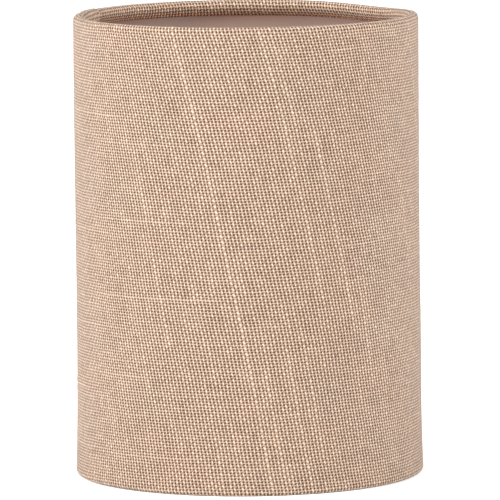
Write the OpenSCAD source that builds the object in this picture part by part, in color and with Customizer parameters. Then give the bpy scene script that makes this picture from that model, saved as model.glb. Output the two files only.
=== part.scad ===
// Straight drum lampshade: linen laminated to a plastic liner, rolled over two wire rings,
// with a three-armed fitter on the lower ring. +Z is up and the origin is the centre of the
// lower rolled edge, on the surface that the shade stands on. The front is -Y, and the panel's
// seam is on the left side, a little behind -X.

/* [Shade] */
// Outside diameter over the rolled edges
shade_d = 150; // [110:1:300]
// Height over the rolled edges
shade_h = 200; // [90:1:400]

/* [Linen cover] */
// Thickness of the linen
linen_t = 0.6; // [0.4:0.05:1]
// Depth of the turned-in hem below the top of the rolled edge
hem_depth = 6.5; // [6.2:0.1:14]
// Room between the linen and each weld on the lower ring
notch_gap = 0.3; // [0.2:0.05:1]

/* [Liner] */
// Thickness of the plastic liner
liner_t = 0.5; // [0.3:0.05:0.8]

/* [Wire rings] */
// Diameter of the ring wire
ring_wire_d = 3; // [2.6:0.1:4]
// Thickness of the glue between each ring and the liner
ring_glue_t = 0.15; // [0.1:0.05:0.3]

/* [Side seam] */
// Width of the overlap of the two ends of the panel
lap_w = 12; // [10:0.5:20]
// Width of the double-sided tape inside the overlap
tape_w = 9; // [5:0.5:9]
// Thickness of the double-sided tape
tape_t = 0.2; // [0.15:0.05:0.4]

/* [Fitter] */
// Bore of the fitter ring, which drops over the lampholder's thread
fitter_bore_d = 42; // [28:0.5:44]
// Width of the fitter ring's flange
fitter_flange_w = 9; // [6:0.5:12]
// Sheet thickness of the fitter ring
fitter_t = 1.2; // [0.8:0.1:1.6]
// Depth of the fitter ring's two turned-down rims
fitter_rim_h = 4; // [3.6:0.1:6]
// Height of the fitter ring's top face above the lower edge
fitter_top = 26; // [20:0.5:45]
// Diameter of the arm wire
arm_wire_d = 2.6; // [2:0.1:2.8]
// Length of each arm's level foot, from the lower ring to its first bend
arm_foot = 6; // [4:0.5:8]
// Length of each arm's level end, from the fitter ring to its second bend
arm_end = 8; // [4:0.5:8]
// Centreline radius of the bends in the arms
arm_bend_r = 6; // [4:0.5:7]
// Radius of the weld beads
weld_r = 1.9; // [1.7:0.05:2.1]
// Thickness of the weld metal on the lower ring
weld_t = 0.4; // [0.2:0.05:0.6]

/* [Hidden] */
$fn = 96;

// The rolled edge: linen round the wire, with the liner's edge beside it
shade_r = shade_d / 2;
roll_r = ring_wire_d / 2 + linen_t;
liner_out_r = shade_r - linen_t;
liner_in_r = liner_out_r - liner_t;
ring_r = liner_in_r - ring_glue_t - ring_wire_d / 2;
ring_in_r = ring_r - ring_wire_d / 2;
low_z = roll_r;
high_z = shade_h - roll_r;

// The overlap at the side seam, as turns about the shade's axis
seam_at = 160;
lap_r = shade_r + tape_t;
lap_t = liner_t + linen_t;
lap_turn = lap_w / lap_r * 180 / PI;
tape_turn = tape_w / lap_r * 180 / PI;
step_turn = lap_t / lap_r * 180 / PI;
lap_low_z = low_z + lap_t;
lap_h = shade_h - 2 * lap_low_z;

// The fitter and its arms: radius and height in the plane of one arm
arm_angles = [30, 150, 270];
bore_r = fitter_bore_d / 2;
fitter_r = bore_r + fitter_flange_w;
arm_end_z = fitter_top - fitter_rim_h / 2;
foot_corner = [ring_in_r - arm_foot, low_z];
end_corner = [fitter_r + arm_end, arm_end_z];
arm_slope = atan2(end_corner[1] - foot_corner[1], foot_corner[0] - end_corner[0]);
bend_run = arm_bend_r * tan(arm_slope / 2);
weld_turn = 2 * weld_r / ring_in_r * 180 / PI;
notch_turn = 2 * (weld_r + notch_gap) / ring_in_r * 180 / PI;
bend_steps = 6;
wire_sides = 16;

// Points along an arc about a centre, from one angle to another
function arc(centre, r, from, to, steps) = [
    for (i = [0:steps])
        centre + r * [cos(from + (to - from) * i / steps), sin(from + (to - from) * i / steps)]
];

// A list of section points turned over to the shade's other edge, in reverse order
function other_edge(points) = [
    for (i = [len(points) - 1:-1:0])
        [points[i][0], shade_h - points[i][1]]
];

// One wire ring, at the height of its centre
module wire_ring(z) {
    rotate_extrude()
        translate([ring_r, z])
            circle(d = ring_wire_d);
}

// Room for one wire inside the linen: sides that touch the round wire from outside
module wire_room(z) {
    sides = 24;
    rotate_extrude()
        translate([ring_r, z])
            polygon(arc([0, 0], ring_wire_d / 2 / cos(180 / sides), 0, 360 - 360 / sides, sides - 1));
}

// A solid of revolution through part of a turn, centred on the side seam
module seam_sector(turn) {
    rotate([0, 0, seam_at - turn / 2])
        rotate_extrude(angle = turn)
            children();
}

// The linen's section: up the outside, over the upper wire and down inside the liner as a hem,
// then the face against the liner and the same again at the lower wire
module linen_section() {
    rolled_edge = concat(
        arc([shade_r - roll_r, high_z], roll_r, 0, 90, 8),
        arc([ring_r, high_z], roll_r, 90, 270, 16),
        [[liner_in_r - linen_t, high_z - roll_r]],
        [[liner_in_r - linen_t, shade_h - hem_depth]],
        [[liner_in_r, shade_h - hem_depth]],
        [[liner_in_r, high_z]],
        [[liner_out_r, high_z]]
    );
    polygon(concat(rolled_edge, other_edge(rolled_edge)));
}

// The outer end of the panel, lapped over the inner end and stepped down to it on one side
module seam_lap() {
    steps = 8;
    root_r = liner_out_r + linen_t / 2;
    free_end = seam_at - lap_turn / 2;
    stepped_end = seam_at + lap_turn / 2;
    under_r = lap_r / cos(lap_turn / steps / 2);
    translate([0, 0, lap_low_z])
        linear_extrude(lap_h)
            polygon(concat(
                arc([0, 0], lap_r + lap_t, free_end, stepped_end + step_turn, steps),
                arc([0, 0], root_r, stepped_end + step_turn, stepped_end, 1),
                arc([0, 0], under_r, stepped_end, free_end, steps)
            ));
}

// Room for one arm and its weld, through the inner side of the lower rolled edge
module weld_notch() {
    inside_r = ring_r - roll_r - linen_t;
    rotate([0, 0, -notch_turn / 2])
        rotate_extrude(angle = notch_turn)
            translate([inside_r, -linen_t])
                square([ring_in_r + ring_wire_d / 3 - inside_r, 2 * (low_z + linen_t)]);
}

module linen_cover() {
    color([0.82, 0.70, 0.62])
        difference() {
            union() {
                rotate_extrude()
                    linen_section();
                seam_lap();
            }
            wire_room(low_z);
            wire_room(high_z);
            for (a = arm_angles)
                rotate([0, 0, a])
                    weld_notch();
        }
}

module liner_panel() {
    color([0.74, 0.62, 0.58])
        rotate_extrude()
            translate([liner_in_r, low_z])
                square([liner_t, high_z - low_z]);
}

module seam_tape() {
    color([0.93, 0.92, 0.88])
        seam_sector(tape_turn)
            translate([shade_r, lap_low_z])
                square([tape_t, lap_h]);
}

module top_ring() {
    color([0.9, 0.9, 0.88])
        wire_ring(high_z);
}

module bottom_ring() {
    color([0.9, 0.9, 0.88])
        wire_ring(low_z);
}

// A pressed channel: a flat flange with a rim turned down at the bore and at the outside
module fitter_section() {
    inner_wall_r = bore_r + fitter_t;
    outer_wall_r = fitter_r - fitter_t;
    under_z = fitter_top - fitter_t;
    foot_z = fitter_top - fitter_rim_h;
    polygon(concat(
        [[bore_r, foot_z], [inner_wall_r, foot_z], [inner_wall_r, under_z]],
        [[outer_wall_r, under_z], [outer_wall_r, foot_z], [fitter_r, foot_z]],
        arc([outer_wall_r, under_z], fitter_t, 0, 90, 6),
        [[bore_r, fitter_top]]
    ));
}

module fitter_ring() {
    color([0.9, 0.9, 0.88])
        rotate_extrude()
            fitter_section();
}

// The centre line of one arm, as radius and height: level foot, bend, slope, bend, level end
function arm_path() = concat(
    [[ring_in_r - weld_t, low_z]],
    arc([foot_corner[0] + bend_run, low_z + arm_bend_r], arm_bend_r,
        -90, -90 - arm_slope, bend_steps),
    arc([end_corner[0] - bend_run, arm_end_z - arm_bend_r], arm_bend_r,
        90 - arm_slope, 90, bend_steps),
    [[fitter_r, arm_end_z]]
);

// The angle of the path's normal at each point, which is upright on the level runs
function arm_tilts() = concat(
    [90],
    [for (i = [0:bend_steps]) 90 - arm_slope * i / bend_steps],
    [for (i = [0:bend_steps]) 90 - arm_slope + arm_slope * i / bend_steps],
    [90]
);

module fitter_arm(angle) {
    path = arm_path();
    tilts = arm_tilts();
    wire_r = arm_wire_d / 2;
    last = len(path) - 1;
    points = [
        for (i = [0:last])
            for (k = [0:wire_sides - 1])
                let (turn = 360 * k / wire_sides, out = wire_r * cos(turn))
                    [
                        path[i][0] + out * cos(tilts[i]),
                        wire_r * sin(turn),
                        path[i][1] + out * sin(tilts[i])
                    ]
    ];
    sides = [
        for (i = [0:last - 1])
            for (k = [0:wire_sides - 1])
                let (next = (k + 1) % wire_sides, row = i * wire_sides)
                    [row + k, row + wire_sides + k, row + wire_sides + next, row + next]
    ];
    foot_face = [for (k = [0:wire_sides - 1]) k];
    end_face = [for (k = [wire_sides - 1:-1:0]) last * wire_sides + k];
    color([0.9, 0.9, 0.88])
        rotate([0, 0, angle])
            polyhedron(points, concat(sides, [foot_face, end_face]));
}

module fitter_arm_1() {
    fitter_arm(arm_angles[0]);
}

module fitter_arm_2() {
    fitter_arm(arm_angles[1]);
}

module fitter_arm_3() {
    fitter_arm(arm_angles[2]);
}

// Saddles of weld metal on the inner side of the lower ring, which the arms' feet end in
module ring_welds() {
    color([0.86, 0.86, 0.84])
        for (a = arm_angles)
            rotate([0, 0, a - weld_turn / 2])
                rotate_extrude(angle = weld_turn)
                    difference() {
                        translate([ring_r, low_z])
                            circle(d = ring_wire_d + 2 * weld_t);
                        translate([ring_r, low_z])
                            circle(d = ring_wire_d);
                        translate([ring_r, 0])
                            square([ring_wire_d, 2 * low_z]);
                    }
}

// Beads round the arms' ends, where they meet the fitter ring
module fitter_welds() {
    color([0.86, 0.86, 0.84])
        for (a = arm_angles)
            rotate([0, 0, a])
                translate([fitter_r, 0, arm_end_z])
                    rotate([0, 90, 0])
                        rotate_extrude()
                            intersection() {
                                circle(r = weld_r);
                                translate([arm_wire_d / 2, 0])
                                    square([weld_r, weld_r]);
                            }
}

linen_cover();
liner_panel();
seam_tape();
top_ring();
bottom_ring();
fitter_ring();
fitter_arm_1();
fitter_arm_2();
fitter_arm_3();
ring_welds();
fitter_welds();
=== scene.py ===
import math

import bmesh
import bpy
import numpy as np
from mathutils import Matrix, Vector


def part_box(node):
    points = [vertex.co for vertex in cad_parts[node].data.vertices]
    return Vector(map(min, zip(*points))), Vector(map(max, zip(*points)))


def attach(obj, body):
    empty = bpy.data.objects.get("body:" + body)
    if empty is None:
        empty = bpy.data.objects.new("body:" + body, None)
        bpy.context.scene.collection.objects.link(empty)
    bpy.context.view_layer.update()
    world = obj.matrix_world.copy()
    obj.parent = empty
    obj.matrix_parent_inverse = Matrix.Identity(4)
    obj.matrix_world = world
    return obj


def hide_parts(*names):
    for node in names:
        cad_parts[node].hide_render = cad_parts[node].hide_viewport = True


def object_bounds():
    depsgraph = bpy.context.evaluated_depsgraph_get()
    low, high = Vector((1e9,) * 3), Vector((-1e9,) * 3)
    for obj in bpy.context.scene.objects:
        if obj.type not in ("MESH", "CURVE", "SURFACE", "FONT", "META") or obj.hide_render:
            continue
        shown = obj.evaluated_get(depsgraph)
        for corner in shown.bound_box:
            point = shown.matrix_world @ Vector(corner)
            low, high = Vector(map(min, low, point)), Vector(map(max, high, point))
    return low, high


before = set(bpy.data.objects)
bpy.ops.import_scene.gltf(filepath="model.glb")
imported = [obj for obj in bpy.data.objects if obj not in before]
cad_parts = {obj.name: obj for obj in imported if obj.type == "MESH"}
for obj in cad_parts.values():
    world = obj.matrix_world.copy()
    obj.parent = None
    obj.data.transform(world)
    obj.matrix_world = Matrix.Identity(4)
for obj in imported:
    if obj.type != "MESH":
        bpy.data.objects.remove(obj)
cad_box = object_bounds()

# ---- Wire rings ------------------------------------------------------------------------------
# Two rings of 3 mm steel wire, butt welded and powder coated white. The linen is rolled over
# them, so they show only at the nicks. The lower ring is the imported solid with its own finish.

MM = 0.001
RING_WIRE_R = 1.5
UPPER_RING_LOW, UPPER_RING_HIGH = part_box("top_ring")
LOWER_RING_LOW, LOWER_RING_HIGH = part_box("bottom_ring")
RING_R = UPPER_RING_HIGH.x / MM - RING_WIRE_R
UPPER_RING_Z = (UPPER_RING_LOW.z + UPPER_RING_HIGH.z) / 2 / MM
LOWER_RING_Z = (LOWER_RING_LOW.z + LOWER_RING_HIGH.z) / 2 / MM


class Paint:
    """A value, colour or vector inside one material. Arithmetic on it adds Math nodes."""

    def __init__(self, tree, socket=None):
        self.tree = tree
        self.socket = socket

    def feed(self, node, inputs):
        for name, value in inputs.items():
            if isinstance(value, Paint):
                self.tree.links.new(value.socket, node.inputs[name])
            else:
                node.inputs[name].default_value = value

    def node(self, kind, settings, inputs, output=0):
        new = self.tree.nodes.new(kind)
        for name, value in settings.items():
            if name == "stops":
                while len(new.color_ramp.elements) < len(value):
                    new.color_ramp.elements.new(1)
                for stop, (position, colour) in zip(new.color_ramp.elements, value):
                    stop.position = position
                    stop.color = colour
            else:
                setattr(new, name, value)
        self.feed(new, inputs)
        return Paint(self.tree, new.outputs[output])

    def math(self, operation, *values):
        return self.node("ShaderNodeMath", {"operation": operation}, dict(enumerate(values)))

    def __add__(self, other):
        return self.math("ADD", self, other)

    def __radd__(self, other):
        return self.math("ADD", other, self)

    def __sub__(self, other):
        return self.math("SUBTRACT", self, other)

    def __rsub__(self, other):
        return self.math("SUBTRACT", other, self)

    def __mul__(self, other):
        return self.math("MULTIPLY", self, other)

    def __rmul__(self, other):
        return self.math("MULTIPLY", other, self)

    def __truediv__(self, other):
        return self.math("DIVIDE", self, other)

    def __neg__(self):
        return self.math("MULTIPLY", self, -1)

    def part(self, index):
        return self.node("ShaderNodeSeparateXYZ", {}, {0: self}, index)

    def vector(self, x, y, z):
        return self.node("ShaderNodeCombineXYZ", {}, {0: x, 1: y, 2: z})

    def noise(self, place, scale, detail=2.0, roughness=0.5):
        return self.node("ShaderNodeTexNoise", {},
            {"Vector": place, "Scale": scale, "Detail": detail, "Roughness": roughness})

    def blend(self, how, amount, under, over):
        return self.node("ShaderNodeMix", {"data_type": "RGBA", "blend_type": how},
            {0: amount, 6: under, 7: over}, 2)

    def bump(self, height, distance, strength=1.0):
        return self.node("ShaderNodeBump", {},
            {"Height": height, "Distance": distance, "Strength": strength})


def new_material(name):
    """A new material, the paint that makes its nodes, and its shader."""
    material = bpy.data.materials.new(name)
    material.use_nodes = True
    shader = material.node_tree.nodes["Principled BSDF"]
    return material, Paint(material.node_tree), shader


def powder_coat(name, pale, deep, lumps):
    """White powder coat: slightly uneven in colour, with a fine orange-peel surface."""
    material, paint, shader = new_material(name)
    place = paint.node("ShaderNodeTexCoord", {}, {}, "Object")
    cloud = paint.noise(place, 160.0, 3.0)
    peel = paint.noise(place, 1400.0, 2.0)
    grit = paint.noise(place, 420.0, 4.0, 0.7)
    colour = paint.node("ShaderNodeValToRGB", {"stops": [(0.34, deep), (0.62, pale)]}, {0: cloud})
    paint.feed(shader, {
        "Base Color": colour,
        "Roughness": 0.34 + 0.22 * grit,
        "Coat Weight": 0.1,
        "Normal": paint.bump(peel + lumps * grit, 0.00012),
    })
    return material


wire_coat = powder_coat("white_powder_coat", (0.82, 0.81, 0.78, 1), (0.70, 0.68, 0.64, 1), 0.5)


def finish_node(name, material):
    """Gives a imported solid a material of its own."""
    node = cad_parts[name]
    node.data.materials.clear()
    node.data.materials.append(material)


finish_node("bottom_ring", wire_coat)

# ---- Fitter ring -----------------------------------------------------------------------------
# A pressed steel ring, 1.2 mm sheet, that drops over the lampholder's thread and is held by
# its nut. The flange is flat, with a rim turned down at the bore and another at the outside.

FITTER_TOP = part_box("fitter_ring")[1].z / MM
FITTER_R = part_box("fitter_ring")[1].x / MM
FITTER_BORE_R = 21.0
FITTER_SHEET = 1.2
FITTER_RIM = 4.0
FITTER_BEND = 1.6
FITTER_SIDES = 144


def arc(centre, r, start, end, steps):
    """Points along an arc, as radius and height, with the angles in degrees."""
    turns = [math.radians(start + (end - start) * i / steps) for i in range(steps + 1)]
    return [(centre[0] + r * math.cos(a), centre[1] + r * math.sin(a)) for a in turns]


def new_piece(name, points, faces, material, slot, *nodes, sharp=180):
    """A mesh piece from points in millimetres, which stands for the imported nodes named."""
    mesh = bpy.data.meshes.new(name)
    mesh.from_pydata((np.asarray(points, float) * MM).tolist(), [], faces)
    mesh.validate()
    shell = bmesh.new()
    shell.from_mesh(mesh)
    if shell.calc_volume(signed=True) < 0:
        bmesh.ops.reverse_faces(shell, faces=shell.faces)
        shell.to_mesh(mesh)
    shell.free()
    mesh.polygons.foreach_set("use_smooth", [True] * len(mesh.polygons))
    mesh.set_sharp_from_angle(angle=math.radians(sharp))
    piece = bpy.data.objects.new(name, mesh)
    bpy.context.scene.collection.objects.link(piece)
    mesh.materials.append(material)
    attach(piece, "root")
    if nodes:
        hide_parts(*nodes)
    return piece


def lathe(section, sides):
    """Points and faces of a closed section turned about the upright axis."""
    points, faces = [], []
    count = len(section)
    for i in range(sides):
        a = 2 * math.pi * i / sides
        points += [(r * math.cos(a), r * math.sin(a), z) for r, z in section]
        after = (i + 1) % sides
        for k in range(count):
            j = (k + 1) % count
            faces.append((i * count + k, i * count + j, after * count + j, after * count + k))
    return points, faces


bend_z = FITTER_TOP - FITTER_BEND
tip_z = FITTER_TOP - FITTER_RIM + FITTER_SHEET / 2
in_x = FITTER_BORE_R + FITTER_BEND
out_x = FITTER_R - FITTER_BEND
inner_bend = FITTER_BEND - FITTER_SHEET
pressing = (
    arc((FITTER_R - FITTER_SHEET / 2, tip_z), FITTER_SHEET / 2, 180, 360, 8)
    + arc((out_x, bend_z), FITTER_BEND, 0, 90, 10)
    + [((FITTER_BORE_R + FITTER_R) / 2, FITTER_TOP)]
    + arc((in_x, bend_z), FITTER_BEND, 90, 180, 10)
    + arc((FITTER_BORE_R + FITTER_SHEET / 2, tip_z), FITTER_SHEET / 2, 180, 360, 8)
    + arc((in_x, bend_z), inner_bend, 180, 90, 6)
    + arc((out_x, bend_z), inner_bend, 90, 0, 6)
)
new_piece("fitter_pressing", *lathe(pressing, FITTER_SIDES), wire_coat, "wire", "fitter_ring",
    sharp=50)

# ---- Fitter arms -----------------------------------------------------------------------------
# Three lengths of 2.6 mm steel wire, each bent twice so that it rises from the lower ring to
# the fitter ring. They are set a third of a turn apart, and coated with the rings.

ARM_TURNS = (30, 150, 270)
ARM_WIRE_R = 1.3
ARM_BEND_R = 6.0
ARM_FOOT = 6.0
ARM_END = 8.0
ARM_SIDES = 28
ARM_END_Z = FITTER_TOP - FITTER_RIM / 2
foot_x, end_x = RING_R - RING_WIRE_R - ARM_FOOT, FITTER_R + ARM_END
arm_slope = math.degrees(math.atan2(ARM_END_Z - LOWER_RING_Z, foot_x - end_x))
bend_run = ARM_BEND_R * math.tan(math.radians(arm_slope / 2))
arm_line = (
    [(RING_R - RING_WIRE_R + 0.1, LOWER_RING_Z), (foot_x + 3, LOWER_RING_Z)]
    + arc((foot_x + bend_run, LOWER_RING_Z + ARM_BEND_R), ARM_BEND_R, -90, -90 - arm_slope, 12)
    + arc((end_x - bend_run, ARM_END_Z - ARM_BEND_R), ARM_BEND_R, 90 - arm_slope, 90, 12)
    + [(FITTER_R + 2, ARM_END_Z), (FITTER_R - 0.7, ARM_END_Z)]
)


def sweep(line, radii, sides, wobble=0.0):
    """Points and faces of a round rod along points in space, closed by a face at each end."""
    line = [Vector(p) for p in line]
    points, faces = [], []
    for i, centre in enumerate(line):
        ahead = (line[min(i + 1, len(line) - 1)] - line[max(i - 1, 0)]).normalized()
        side = ahead.cross(Vector((0, 0, 1))).normalized()
        up = side.cross(ahead)
        for k in range(sides):
            a = 2 * math.pi * k / sides
            r = radii[i] * (1 + wobble * math.sin(3 * a + 1.7 * i) + wobble * math.sin(5 * a - i))
            points.append(centre + r * math.cos(a) * side + r * math.sin(a) * up)
            j = (k + 1) % sides
            if i:
                back = (i - 1) * sides
                faces.append((back + k, back + j, i * sides + j, i * sides + k))
    faces.append(tuple(range(sides - 1, -1, -1)))
    faces.append(tuple(range((len(line) - 1) * sides, len(line) * sides)))
    return points, faces


def turned(line, degrees):
    """Points given as radius and height, stood at an angle about the shade's axis."""
    a = math.radians(degrees)
    return [(r * math.cos(a), r * math.sin(a), z) for r, z in line]


for number, turn in enumerate(ARM_TURNS, 1):
    rod = sweep(turned(arm_line, turn), [ARM_WIRE_R] * len(arm_line), ARM_SIDES)
    new_piece(f"fitter_arm_wire_{number}", *rod, wire_coat, "wire", f"fitter_arm_{number}",
        sharp=50)

# ---- Welds -----------------------------------------------------------------------------------
# Beads of steel where each arm meets the lower ring and the fitter ring, under the same coat,
# which is thinner and a little darker over the rough metal.

weld_coat = powder_coat("coated_weld", (0.78, 0.77, 0.73, 1), (0.60, 0.57, 0.52, 1), 3.0)
WELD_HALF_TURN = 1.75
WELD_SIDES = 24
SADDLE_RADII = (1.38, 1.56, 1.68, 1.75, 1.79, 1.76, 1.69, 1.57, 1.38)
BEAD_SHAPE = ((-0.5, 1.5), (-0.2, 2.0), (0.25, 2.1), (0.7, 1.95), (1.15, 1.7), (1.5, 1.45),
    (1.75, 1.25))


def join(shells):
    """Several closed meshes as one list of points and one of faces."""
    points, faces = [], []
    for some_points, some_faces in shells:
        base = len(points)
        points += some_points
        faces += [tuple(base + index for index in face) for face in some_faces]
    return points, faces


saddles, beads = [], []
for turn in ARM_TURNS:
    saddle_line = []
    for i, r in enumerate(SADDLE_RADII):
        a = math.radians(turn + WELD_HALF_TURN * (2 * i / (len(SADDLE_RADII) - 1) - 1))
        inward = RING_R - (r - SADDLE_RADII[0])
        saddle_line.append((inward * math.cos(a), inward * math.sin(a), LOWER_RING_Z))
    saddles.append(sweep(saddle_line, SADDLE_RADII, WELD_SIDES, 0.012))
    bead_line = turned([(FITTER_R + along, ARM_END_Z) for along, _ in BEAD_SHAPE], turn)
    beads.append(sweep(bead_line, [r for _, r in BEAD_SHAPE], WELD_SIDES, 0.03))
new_piece("ring_weld_saddles", *join(saddles), weld_coat, "weld", "ring_welds", sharp=60)
new_piece("fitter_weld_beads", *join(beads), weld_coat, "weld", "fitter_welds", sharp=60)

# ---- Liner panel -----------------------------------------------------------------------------
# A sheet of satin styrene, 0.5 mm thick, that the linen is laminated to. It was rolled into a
# tube with its inner end under the lap at the side, and its edges stand beside the rings.

SHADE_R = 75.0
SHADE_H = cad_box[1].z / MM
LINEN = 0.6
LINER = 0.5
TAPE = 0.2
ROLL_R = RING_WIRE_R + LINEN
SEAM_TURN = 160.0
LAP_HALF_TURN = 4.57
INNER_END = SEAM_TURN + LAP_HALF_TURN
LAP_START = INNER_END - 360
OUTER_END = LAP_START - 2 * LAP_HALF_TURN
LAP_RISE = 3.6
LAP_ROOM = 0.03
PRESSED = 0.3
EDGE_REACH = 3.0
FLARE = 1.0
FLARE_REACH = 24.0
WAIST = 0.28
DIP = 1.25
DIP_TURN = 36.0
DIP_SPREAD = 23.0
LINER_COLUMNS = 260
LINER_ROWS = 25
HEM_SHADOW_START = 6.2
HEM_SHADOW_REACH = 8.0


def smooth(x):
    """An S-shaped rise from 0 to 1."""
    x = np.clip(x, 0, 1)
    return x * x * (3 - 2 * x)


def wall_ease(turn, z):
    """How far the wall stands off its true cylinder: flared foot and hand-rolled unevenness."""
    a = np.radians(turn)
    flare = FLARE * np.exp(-z / FLARE_REACH) - WAIST
    middle = np.sin(np.pi * np.clip(z / SHADE_H, 0, 1))
    wave = 0.10 * np.sin(3 * a + z / 60 + 0.8) + 0.07 * np.sin(5 * a - z / 35 + 2.1)
    return flare + wave * middle


def rim_dip(turn, z):
    """How far the rim is bent down, towards the back on the right, where the ring was knocked."""
    away = (turn - DIP_TURN + 180) % 360 - 180
    return DIP * np.exp(-(away / DIP_SPREAD) ** 2) * smooth((z - SHADE_H / 2) / (SHADE_H / 2))


def clear_of_edges(z):
    """0 at and beyond either ring, and 1 on the flat of the wall."""
    return smooth(np.minimum(z - LOWER_RING_Z, UPPER_RING_Z - z) / EDGE_REACH)


def lapped(turn):
    """0 on the single wall, and 1 where the outer end lies over the inner end."""
    return smooth((LAP_START + LAP_RISE - turn) / LAP_RISE)


def lap_lift(turn, z):
    """How far the outer end of the panel is lifted where it laps over the inner end."""
    squeezed = PRESSED + LAP_ROOM
    return lapped(turn) * (squeezed + (LINEN + LINER + TAPE - squeezed) * clear_of_edges(z))


def lap_sink(turn, z):
    """How far the inner end is pressed into the rolled edges under the lap."""
    under = smooth((turn - INNER_END + 2 * LAP_HALF_TURN + 0.4) / 0.8)
    return under * PRESSED * (1 - clear_of_edges(z))


def sheet_cells(front, back, kept, missing=()):
    """A sheet with two skins as points and faces. The back skin has only the kept rows, and
    a wall closes every side of a cell whose neighbour is outside the sheet or missing."""
    columns, rows = front.shape[:2]
    points = np.concatenate([front.reshape(-1, 3), back.reshape(-1, 3)])
    base, deep = columns * rows, len(kept)
    missing = set(missing)
    faces = []

    def there(i, k):
        return 0 <= i < columns - 1 and 0 <= k < deep - 1 and (i, k) not in missing

    for i in range(columns - 1):
        for k in range(deep - 1):
            if not there(i, k):
                continue
            low, high = kept[k], kept[k + 1]
            for j in range(low, high):
                faces.append((i * rows + j, (i + 1) * rows + j,
                    (i + 1) * rows + j + 1, i * rows + j + 1))
            near, far = base + i * deep + k, base + (i + 1) * deep + k
            faces.append((near, near + 1, far + 1, far))
            if not there(i - 1, k):
                faces.append((*range(i * rows + low, i * rows + high + 1), near + 1, near))
            if not there(i + 1, k):
                faces.append((*range((i + 1) * rows + high, (i + 1) * rows + low - 1, -1),
                    far, far + 1))
            if not there(i, k - 1):
                faces.append((i * rows + low, near, far, (i + 1) * rows + low))
            if not there(i, k + 1):
                faces.append(((i + 1) * rows + high, far + 1, near + 1, i * rows + high))
    return points, faces


def wall_points(turns, heights, depth):
    """A grid of points on the wall, some way in from the linen's face."""
    turn, z = np.meshgrid(turns, heights, indexing="ij")
    r = SHADE_R + wall_ease(turn, z) + lap_lift(turn, z) - depth
    a = np.radians(turn)
    return np.stack([r * np.cos(a), r * np.sin(a), z - rim_dip(turn, z)], -1)


def wall_sheet(turns, heights, face_depth, back_depth):
    """Points and faces of a sheet that follows the wall between two depths."""
    return sheet_cells(wall_points(turns, heights, face_depth),
        wall_points(turns, heights, back_depth), range(len(heights)))


def satin_liner():
    """Dusty brown styrene, a little mottled, and darkened beside both hems by painted shadow
    under the rolled edges.
    """
    material, paint, shader = new_material("satin_liner")
    place = paint.node("ShaderNodeTexCoord", {}, {}, "Object")
    mottle = paint.noise(place, 28.0, 4.0, 0.6)
    grain = paint.noise(place, 900.0, 3.0, 0.6)
    clean = paint.node("ShaderNodeValToRGB", {"stops": [
        (0.3, (0.255, 0.172, 0.138, 1)),
        (0.7, (0.305, 0.214, 0.175, 1)),
    ]}, {0: mottle})
    # Painted shade: the liner darkens towards both hems, standing in for the shadow under the
    # rolled edges.
    height_up = place.part(2) / MM
    from_hem = place.math("MINIMUM", height_up, SHADE_H - height_up) - HEM_SHADOW_START
    hem_shadow = paint.node("ShaderNodeMapRange", {"interpolation_type": "SMOOTHSTEP"},
        {0: from_hem + 1.2 * (mottle - 0.5), 1: 0.0, 2: HEM_SHADOW_REACH, 3: 1.0, 4: 0.0})
    paint.feed(shader, {
        "Base Color": paint.blend("MIX", 0.9 * hem_shadow, clean, (0.170, 0.086, 0.060, 1)),
        "Roughness": 0.42 + 0.16 * grain,
        "Normal": paint.bump(grain + 2 * mottle, 0.00006),
    })
    return material


liner_turns = np.linspace(INNER_END - 0.05, LAP_START, LINER_COLUMNS)
liner_rise = smooth(np.linspace(0, 1, LINER_ROWS))
liner_heights = LOWER_RING_Z + (UPPER_RING_Z - LOWER_RING_Z) * liner_rise
liner = new_piece("liner_sheet", *wall_sheet(liner_turns, liner_heights, LINEN, LINEN + LINER),
    satin_liner(), "liner", "liner_panel", sharp=50)

# ---- Upper ring ------------------------------------------------------------------------------
# The upper ring's wire as it really lies: bent down a little with the rim, with the small
# swelling of its butt weld near the seam.

RING_STEPS = 180
WIRE_SIDES = 20
RING_PLAY = 0.01
BUTT_WELD_TURN = SEAM_TURN + 20
ring_turns = np.linspace(0, 360, RING_STEPS, endpoint=False)
around = 2 * np.pi * np.arange(WIRE_SIDES) / WIRE_SIDES
step_turn, side_turn = np.meshgrid(ring_turns, around, indexing="ij")
swell = 1 + 0.03 * np.exp(-((step_turn - BUTT_WELD_TURN) / 1.5) ** 2)
wire_r = (RING_WIRE_R - RING_PLAY) * swell
axis_r = RING_R + wire_r * np.cos(side_turn)
ring_z = UPPER_RING_Z + wire_r * np.sin(side_turn) - rim_dip(step_turn, SHADE_H)
step_a = np.radians(step_turn)
ring_points = np.stack([axis_r * np.cos(step_a), axis_r * np.sin(step_a), ring_z], -1)
ring_faces = []
for i in range(RING_STEPS):
    here, after = i * WIRE_SIDES, (i + 1) % RING_STEPS * WIRE_SIDES
    for k in range(WIRE_SIDES):
        j = (k + 1) % WIRE_SIDES
        ring_faces.append((here + k, after + k, after + j, here + j))
upper_ring = new_piece("upper_ring_wire", ring_points.reshape(-1, 3), ring_faces, wire_coat,
    "wire", "top_ring")

# ---- Linen cover -----------------------------------------------------------------------------
# One panel of slubby plain-weave linen, dusty rose, laminated to the liner, rolled over both
# rings and glued down inside as a hem. Its outer end is folded and lapped at the side, and it
# is nicked inside the lower edge for the arms. The cloth was cut askew, so its warp leans.

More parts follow.
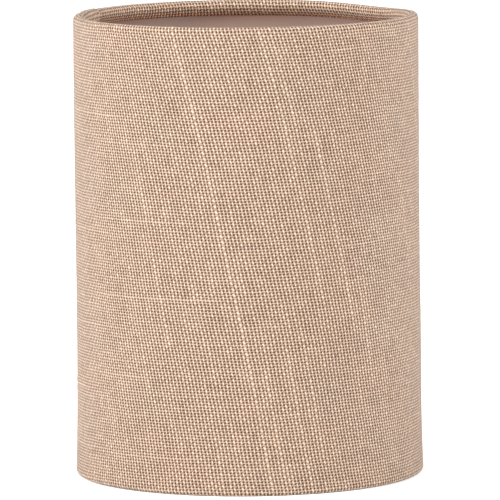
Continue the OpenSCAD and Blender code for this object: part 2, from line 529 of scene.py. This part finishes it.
WARP_PITCH = 1.584
WEFT_PITCH = 1.264
YARN_TWIST = 1.9
WARP_LEAN = 0.165
WARP_BOW = 0.00025
WEFT_LEAN = 0.008
HEM_DROP = 5.0
HEM_STEPS = 12
HEM_END_TURN = 82.0
HEM_PRESSED = 0.25
HEM_PRESSED_REACH = 2.5
HEM_STRETCH = 0.78
WARM_LIGHT_TO, WARM_LIGHT_FADE = 4.2, 2.4
LIT_ROLL_FROM, LIT_ROLL_TO = 3.2, 8.2
WARP_SLUB_RISE, WARP_TAPER, WARP_STRAYS = 0.22, 14, 26
WEFT_SLUB_RISE, WEFT_TAPER, WEFT_STRAYS = 0.16, 10, 22
COLUMNS = 398
LAP_FOLD = 0.45
FOLD_TURN = 0.45
FOLD_COLUMNS = np.array([FOLD_TURN, 0.2, 0.07, 0.0])
NOTCH_HALF_TURN = 1.78
NOTCH_R = 71.75
BACK_ROW_GAP = 26
SEED = 41

# Slubs: where each lies across its yarns, where it starts and ends, and how thick it is
WARP_SLUBS = [(11, -9, 209, 1.0), (-23.5, 52, 155, 0.7), (-38, 35, 110, 0.45),
    (49, 70, 209, 0.7), (53, 140, 209, 0.6), (61, 60, 165, 1.0), (67, 40, 105, 0.7),
    (16.3, -9, 60, 0.7), (28.3, -9, 65, 0.7), (35, 10, 80, 0.6), (-9.7, -9, 60, 0.4)]
WEFT_SLUBS = [(150, -82, -12, 0.45), (116.8, -82, -20, 0.8), (84.5, -82, -8, 1.0),
    (106, 40, 80, 0.8), (134.5, 50, 75, 0.7), (189.5, 32, 65, 0.7), (50.5, -80, -38, 0.6),
    (15.5, -72, -15, 0.6), (152.5, 35, 70, 0.6), (90, 30, 70, 0.4)]
rng = np.random.default_rng(SEED)
for _ in range(WARP_STRAYS):
    where = rng.uniform(95, 245) * rng.choice([-1, 1])
    start = rng.uniform(-20, 150)
    WARP_SLUBS.append((where, start, start + rng.uniform(40, 130), rng.uniform(0.4, 1)))
for _ in range(WEFT_STRAYS):
    start = rng.uniform(88, 190) * rng.choice([-1, 1])
    WEFT_SLUBS.append((rng.uniform(6, 194), start, start + rng.uniform(30, 80),
        rng.uniform(0.4, 1)))

# The section of the linen's face, from the upper hem's edge over the roll and down the
# outside to the lower hem's edge: each row is radius, height, way out, and cloth height
hem_r = SHADE_R - 2 * LINEN - LINER
hem_swell = hem_r - (RING_R - ROLL_R)
hem_turns = [math.radians(HEM_END_TURN * (1 - i / HEM_STEPS)) for i in range(HEM_STEPS)]
upper = (
    [(hem_r - hem_swell * (1 - math.sin(a) ** 1.6),
        UPPER_RING_Z - HEM_DROP * math.sin(a)) for a in hem_turns]
    + arc((RING_R, UPPER_RING_Z), ROLL_R, 180, 90, 8)
    + arc((SHADE_R - ROLL_R, UPPER_RING_Z), ROLL_R, 90, 0, 6)
)
first_thread = math.ceil(LOWER_RING_Z / WEFT_PITCH + 0.5)
last_thread = math.floor(UPPER_RING_Z / WEFT_PITCH - 0.5)
body = [(SHADE_R, (thread + 0.5) * WEFT_PITCH)
    for thread in range(last_thread - 1, first_thread - 1, -1)]
section = np.array(upper + body + [(r, SHADE_H - z) for r, z in reversed(upper)])
edge_rows = len(upper)
total_rows = len(section)
steps = np.gradient(section, axis=0)
steps /= np.linalg.norm(steps, axis=1)[:, None]
way_out = np.stack([-steps[:, 1], steps[:, 0]], 1)
lengths = np.concatenate([[0], np.cumsum(np.linalg.norm(np.diff(section, axis=0), axis=1))])
cloth_z = UPPER_RING_Z - (lengths - lengths[edge_rows - 1])
cloth_z += (HEM_STRETCH - 1) * np.clip(cloth_z - UPPER_RING_Z, 0, None)
cloth_z += (HEM_STRETCH - 1) * np.clip(cloth_z - LOWER_RING_Z, None, 0)

# Columns run from the inner end to the folded outer end, closer together at the fold
turns = np.concatenate([
    np.linspace(INNER_END, OUTER_END + 2 * FOLD_TURN, COLUMNS - len(FOLD_COLUMNS)),
    OUTER_END + FOLD_COLUMNS,
])
turn, row = np.meshgrid(turns, np.arange(total_rows), indexing="ij")
base_r, base_z = section[row, 0], section[row, 1]
out_r, out_z = way_out[row, 0], way_out[row, 1]

# Cloth coordinates: warp in threads across, weft in threads up
across = SHADE_R * np.radians(turn + 90)
height = cloth_z[row]
askew = (across + WARP_LEAN * height + WARP_BOW * height ** 2
    + 0.35 * np.sin(height / 31 + across / 47) + 0.2 * np.sin(height / 17 - across / 29 + 1.3))
level = (height - WEFT_LEAN * across + 0.22 * np.sin(across / 23 + height / 80)
    + 0.12 * np.sin(across / 9 + height / 40))
warp_line, weft_line = askew / WARP_PITCH, level / WEFT_PITCH


def slubbed(slubs, line, pitch, along, taper):
    """How far each point is from the nearest slub, in yarns, and how thick that slub is. Each
    slub swells and thins over its taper."""
    distance, thickness = np.full(line.shape, 3.0), np.zeros(line.shape)
    for where, start, end, thick in slubs:
        off = np.abs(line - math.floor(where / pitch) - 0.5)
        span = smooth((along - start) / taper) * smooth((end - along) / taper)
        nearer = (off < distance) & (span > 0)
        distance[nearer] = off[nearer]
        thickness[nearer] = thick * span[nearer]
    return distance, thickness


warp_off, warp_thick = slubbed(WARP_SLUBS, warp_line, WARP_PITCH, height, WARP_TAPER)
weft_off, weft_thick = slubbed(WEFT_SLUBS, weft_line, WEFT_PITCH, across, WEFT_TAPER)
from_hem_edge = np.minimum(lengths[row], lengths[-1] - lengths[row])
# Painted light: a warm tint near each inner hem's cut edge, for light bounced about inside the
# shade.
hem_warm_light = smooth((WARM_LIGHT_TO - from_hem_edge) / WARM_LIGHT_FADE)
# Painted light: a paler band on the inner side of each roll, where light falls into the shade.
roll_painted_light = smooth((from_hem_edge - LIT_ROLL_FROM) / 1.6) * smooth((LIT_ROLL_TO - from_hem_edge) / 2.4)
warp_slub = warp_thick * np.exp(-(warp_off * 1.5) ** 2)
weft_slub = weft_thick * np.exp(-(weft_off * 1.3) ** 2)

# The face stands off the section by the wall's ease, the lap's lift and the slubs' thickness
over_fold = np.clip(1 - (turn - OUTER_END) / FOLD_TURN, 0, 1)
fold = LAP_FOLD * (1 - np.sqrt(1 - over_fold ** 2))
face = lap_lift(turn, base_z) - lap_sink(turn, base_z) - fold
face += WARP_SLUB_RISE * warp_slub + WEFT_SLUB_RISE * weft_slub
face -= HEM_PRESSED * smooth(1 - from_hem_edge / HEM_PRESSED_REACH)
ease = wall_ease(turn, base_z) * smooth((base_r - RING_R) / (SHADE_R - RING_R))
a = np.radians(turn)


def stand(off, rows=slice(None)):
    """The cloth's points, some way off its section, at all rows or only at some."""
    r = (base_r + out_r * off + ease)[:, rows]
    z = (base_z + out_z * off - rim_dip(turn, base_z))[:, rows]
    return np.stack([r * np.cos(a[:, rows]), r * np.sin(a[:, rows]), z], -1)


# The back skin has few rows. It lies on the liner, or under the lap on the tape
kept = sorted({
    *range(0, edge_rows, 2), edge_rows - 1,
    *range(edge_rows + 24, total_rows - edge_rows - 12, BACK_ROW_GAP),
    *range(total_rows - edge_rows, total_rows, 2), total_rows - 1,
})
on_wall = clear_of_edges(base_z)
lap_room = LAP_ROOM + (TAPE - LAP_ROOM) * on_wall - PRESSED * (1 - on_wall)
back_off = lapped(turn) * (LINEN + lap_room) - LINEN + fold

# Nicks: the cells of the lower hem, inside the ring, that each arm passes through
nicks = []
for k, (low, high) in enumerate(zip(kept, kept[1:])):
    if section[low, 1] < SHADE_H / 2 and max(section[low, 0], section[high, 0]) < NOTCH_R:
        for i, middle in enumerate((turns[1:] + turns[:-1]) / 2):
            if any(abs((middle - t + 180) % 360 - 180) < NOTCH_HALF_TURN for t in ARM_TURNS):
                nicks.append((i, k))


def yarn(side, half, over):
    """Height of a round yarn: none outside it, and highest on its middle where it is lifted."""
    ratio = side / half
    lift = (0.72 + 0.5 * over).math("MINIMUM", 0.72 + 0.5 * over, 1)
    round_top = (1 - ratio * ratio).math("MAXIMUM", 1 - ratio * ratio, 0)
    return round_top.math("POWER", round_top, 0.55) * (0.25 + 0.75 * lift)


def slubby_linen():
    """Dusty rose plain weave: each yarn passes over and under, thick and thin, dark and pale."""
    material, paint, shader = new_material("slubby_linen")
    cloth = paint.node("ShaderNodeAttribute", {"attribute_name": "cloth"}, {}, 1)
    slub_off = paint.node("ShaderNodeAttribute", {"attribute_name": "slub_off"}, {}, 1)
    slub_size = paint.node("ShaderNodeAttribute", {"attribute_name": "slub_size"}, {}, 1)
    hem = paint.node("ShaderNodeAttribute", {"attribute_name": "hem"}, {}, 1)

    # Threads across and up, with the yarns' own wandering
    s = cloth.part(0) + 0.5 * (paint.noise(cloth, 0.11, 3.0) - 0.5)
    s = s + 0.3 * (paint.noise(cloth, 0.6, 1.0) - 0.5)
    t = cloth.part(1) + 0.5 * (paint.noise(cloth, 0.13, 2.0) - 0.5)
    warp_id, weft_id = s.math("FLOOR", s), t.math("FLOOR", t)
    warp_side, weft_side = s - warp_id - 0.5, t - weft_id - 0.5

    # Which yarn is lifted: each goes over its neighbours in turn
    warp_wave, weft_wave = s.math("SINE", s * math.pi), t.math("SINE", t * math.pi)
    warp_over = weft_wave * s.math("SIGN", warp_wave)
    weft_over = -(warp_wave * s.math("SIGN", weft_wave))

    # Uneven yarns, and the slubs
    warp_slub = s.math("LESS_THAN", slub_off.part(0), 0.5) * slub_size.part(0)
    weft_slub = s.math("LESS_THAN", slub_off.part(1), 0.5) * slub_size.part(1)
    warp_spin = paint.noise(paint.vector(warp_id * 7.31, t * 0.09, 0), 1.0, 3.0, 0.75)
    weft_spin = paint.noise(paint.vector(s * 0.09, weft_id * 5.17, 4.0), 1.0, 3.0, 0.75)
    warp_top = yarn(warp_side, 0.305 + 0.36 * (warp_spin - 0.5) + 0.13 * warp_slub, warp_over)
    weft_top = yarn(weft_side, 0.305 + 0.36 * (weft_spin - 0.5) + 0.14 * weft_slub, weft_over)

    # Relief, with the twist of the yarns as slanting ridges
    slant = (warp_side + weft_side) * YARN_TWIST
    ridge = s.math("MAXIMUM", 1 - slant * slant, 0)
    relief = s.math("MAXIMUM", warp_top, weft_top) * (0.58 + 0.42 * ridge)
    on_warp = s.math("GREATER_THAN", warp_top, weft_top)
    on_weft = 1 - on_warp

    # Colour by depth, which paints shade in the weave's hollows and light on its crowns, by yarn
    # and by patches, then painted light on the hems
    fibre = paint.noise(paint.vector(s * 6, t * 6, 2.0), 1.0, 2.0, 0.7)
    # Painted shade and light: the holes are dark brown, partly the liner showing through and
    # partly painted shade in the hollows, and the raised crowns are painted paler.
    by_depth = paint.node("ShaderNodeValToRGB", {"stops": [
        (0.0, (0.094, 0.039, 0.020, 1)),
        (0.2, (0.183, 0.088, 0.049, 1)),
        (0.4, (0.340, 0.211, 0.145, 1)),
        (0.66, (0.490, 0.357, 0.280, 1)),
        (0.95, (0.625, 0.490, 0.410, 1)),
    ]}, {0: relief + 0.10 * (fibre - 0.5)})
    fleck = paint.noise(paint.vector(s * 0.4, t * 0.9, 7.0), 1.0, 2.0, 0.6)
    # Painted highlight: the warp's floats are made paler than the weft's, as they catch more of
    # the light.
    tone = (0.73 + 0.27 * on_warp + 0.55 * (fleck - 0.5)
        + on_warp * (0.3 * (warp_spin - 0.5) + 0.05 * warp_slub)
        + on_weft * (0.3 * (weft_spin - 0.5) + 0.12 * weft_slub))
    blush = paint.node("ShaderNodeValToRGB", {"stops": [
        (0.32, (0.96, 0.985, 0.935, 1)),
        (0.68, (0.99, 0.97, 0.91, 1)),
    ]}, {0: paint.noise(cloth, 0.045, 3.0)})
    toned = paint.blend("MULTIPLY", 1.0, by_depth, paint.vector(tone, tone, tone))
    # Painted light: the lower inner hems are tinted warmer, with red raised, for light bounced
    # inside the shade.
    hem_warm_light = paint.blend("MULTIPLY", hem.part(0), blush, (1.45, 1.08, 0.90, 1))
    # Painted light: the inner sides of the rolls are painted paler, where light falls on them.
    roll_painted_light = paint.blend("MULTIPLY", hem.part(1), hem_warm_light, (1.4, 1.36, 1.34, 1))
    paint.feed(shader, {
        "Base Color": paint.blend("MULTIPLY", 1.0, toned, roll_painted_light),
        "Roughness": 0.95 - 0.15 * relief,
        "Sheen Weight": 0.12,
        "Specular IOR Level": 0.25,
        "Normal": paint.bump(relief + 0.12 * fibre, 0.0005),
    })
    return material


cover = new_piece("linen_panel", *sheet_cells(stand(face), stand(back_off, kept), kept, nicks),
    slubby_linen(), "linen", "linen_cover")
for name, *pair in (("cloth", warp_line, weft_line), ("slub_off", warp_off, weft_off),
        ("slub_size", warp_thick, weft_thick), ("hem", hem_warm_light, roll_painted_light)):
    layer = cover.data.attributes.new(name, "FLOAT_VECTOR", "POINT")
    both = [np.concatenate([v.ravel(), v[:, kept].ravel()]) for v in pair]
    layer.data.foreach_set("vector", np.stack([*both, 0 * both[0]], 1).astype(np.float32).ravel())

# ---- Seam tape -------------------------------------------------------------------------------
# Double-sided tape, 9 mm wide, that holds the lapped end of the panel down on the end under
# it. It lies in the middle of the lap and stops short of both rolled edges.

TAPE_HALF_TURN = 3.43
TAPE_SHORT = 3.0
TAPE_COLUMNS = 13
TAPE_ROWS = 40
TAPE_FACE = 0.02


def seam_tape_film():
    """Pale yellowish film, a little creased."""
    material, paint, shader = new_material("seam_tape_film")
    place = paint.node("ShaderNodeTexCoord", {}, {}, "Object")
    crease = paint.noise(place, 120.0, 3.0)
    paint.feed(shader, {
        "Base Color": paint.node("ShaderNodeValToRGB", {"stops": [
            (0.3, (0.80, 0.78, 0.71, 1)),
            (0.7, (0.88, 0.86, 0.80, 1)),
        ]}, {0: crease}),
        "Roughness": 0.3 + 0.2 * crease,
        "Normal": paint.bump(crease, 0.00004),
    })
    return material


tape_turns = SEAM_TURN + np.linspace(TAPE_HALF_TURN, -TAPE_HALF_TURN, TAPE_COLUMNS)
tape_low, tape_high = (corner.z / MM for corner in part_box("seam_tape"))
tape_heights = np.linspace(tape_high - TAPE_SHORT, tape_low + TAPE_SHORT, TAPE_ROWS)
new_piece("seam_tape_strip", *wall_sheet(tape_turns, tape_heights, -TAPE, -TAPE_FACE),
    seam_tape_film(), "tape", "seam_tape", sharp=50)

# ---- Floor and light -------------------------------------------------------------------------
# A plain white studio table under broad soft light: a bright surround, a strong panel to the
# left of the camera and a weaker one to the right.

FLOOR_HALF = 30.0
floor_mesh = bpy.data.meshes.new("studio_floor")
floor_mesh.from_pydata([(x * FLOOR_HALF, y * FLOOR_HALF, 0) for x, y in
    ((-1, -1), (1, -1), (1, 1), (-1, 1))], [], [(0, 1, 2, 3)])
floor = bpy.data.objects.new("studio_floor", floor_mesh)
bpy.context.scene.collection.objects.link(floor)


def pale_floor():
    """Matt white paper, lit a little from below as on a light table."""
    material, paint, shader = new_material("pale_floor")
    place = paint.node("ShaderNodeTexCoord", {}, {}, "Object")
    paint.feed(shader, {
        "Base Color": (0.94, 0.94, 0.94, 1),
        "Roughness": 0.9 + 0.05 * paint.noise(place, 30.0),
        "Emission Color": (1, 1, 1, 1),
        "Emission Strength": 0.15,
        "Specular IOR Level": 0.1,
    })
    return material


floor_mesh.materials.append(pale_floor())

surround = bpy.data.worlds.new("studio_surround")
surround.use_nodes = True
surround.node_tree.nodes["Background"].inputs["Color"].default_value = (1, 1, 1, 1)
surround.node_tree.nodes["Background"].inputs["Strength"].default_value = 1.0
bpy.context.scene.world = surround


def softbox(name, place, size, power):
    """A round lamp with a soft edge to its shadows, aimed at the middle of the shade."""
    lamp = bpy.data.lights.new(name, "AREA")
    lamp.shape = "DISK"
    lamp.size = size
    lamp.energy = power
    holder = bpy.data.objects.new(name, lamp)
    holder.location = place
    to_shade = Vector((0, 0, SHADE_H * MM / 2)) - Vector(place)
    holder.rotation_euler = to_shade.to_track_quat("-Z", "Y").to_euler()
    holder.visible_camera = False
    bpy.context.scene.collection.objects.link(holder)


softbox("left_panel", (-1.9, -1.15, 1.3), 0.7, 68.0)
softbox("right_panel", (1.6, -1.0, 0.9), 0.9, 29.0)
bpy.context.scene.view_settings.view_transform = "Standard"

# ---- Camera ----------------------------------------------------------------------------------
# A long lens a little above the shade, far enough away that its sides stay almost upright.

CAMERA_BACK = 2.931
CAMERA_UP = 0.446
CAMERA_PITCH = math.radians(6.794)
CAMERA_YAW = math.radians(-0.0186)
CAMERA_ROLL = math.radians(-0.55)
LENS_LENGTH = 488.9
lens = bpy.data.cameras.new("long_lens")
lens.sensor_width = 36
lens.lens = LENS_LENGTH
lens.clip_start, lens.clip_end = 0.1, 100
camera = bpy.data.objects.new("long_lens", lens)
camera.matrix_world = (Matrix.Translation((0, -CAMERA_BACK, CAMERA_UP))
    @ Matrix.Rotation(CAMERA_YAW, 4, "Z")
    @ Matrix.Rotation(math.pi / 2 - CAMERA_PITCH, 4, "X")
    @ Matrix.Rotation(CAMERA_ROLL, 4, "Z"))
bpy.context.scene.collection.objects.link(camera)
bpy.context.scene.camera = camera
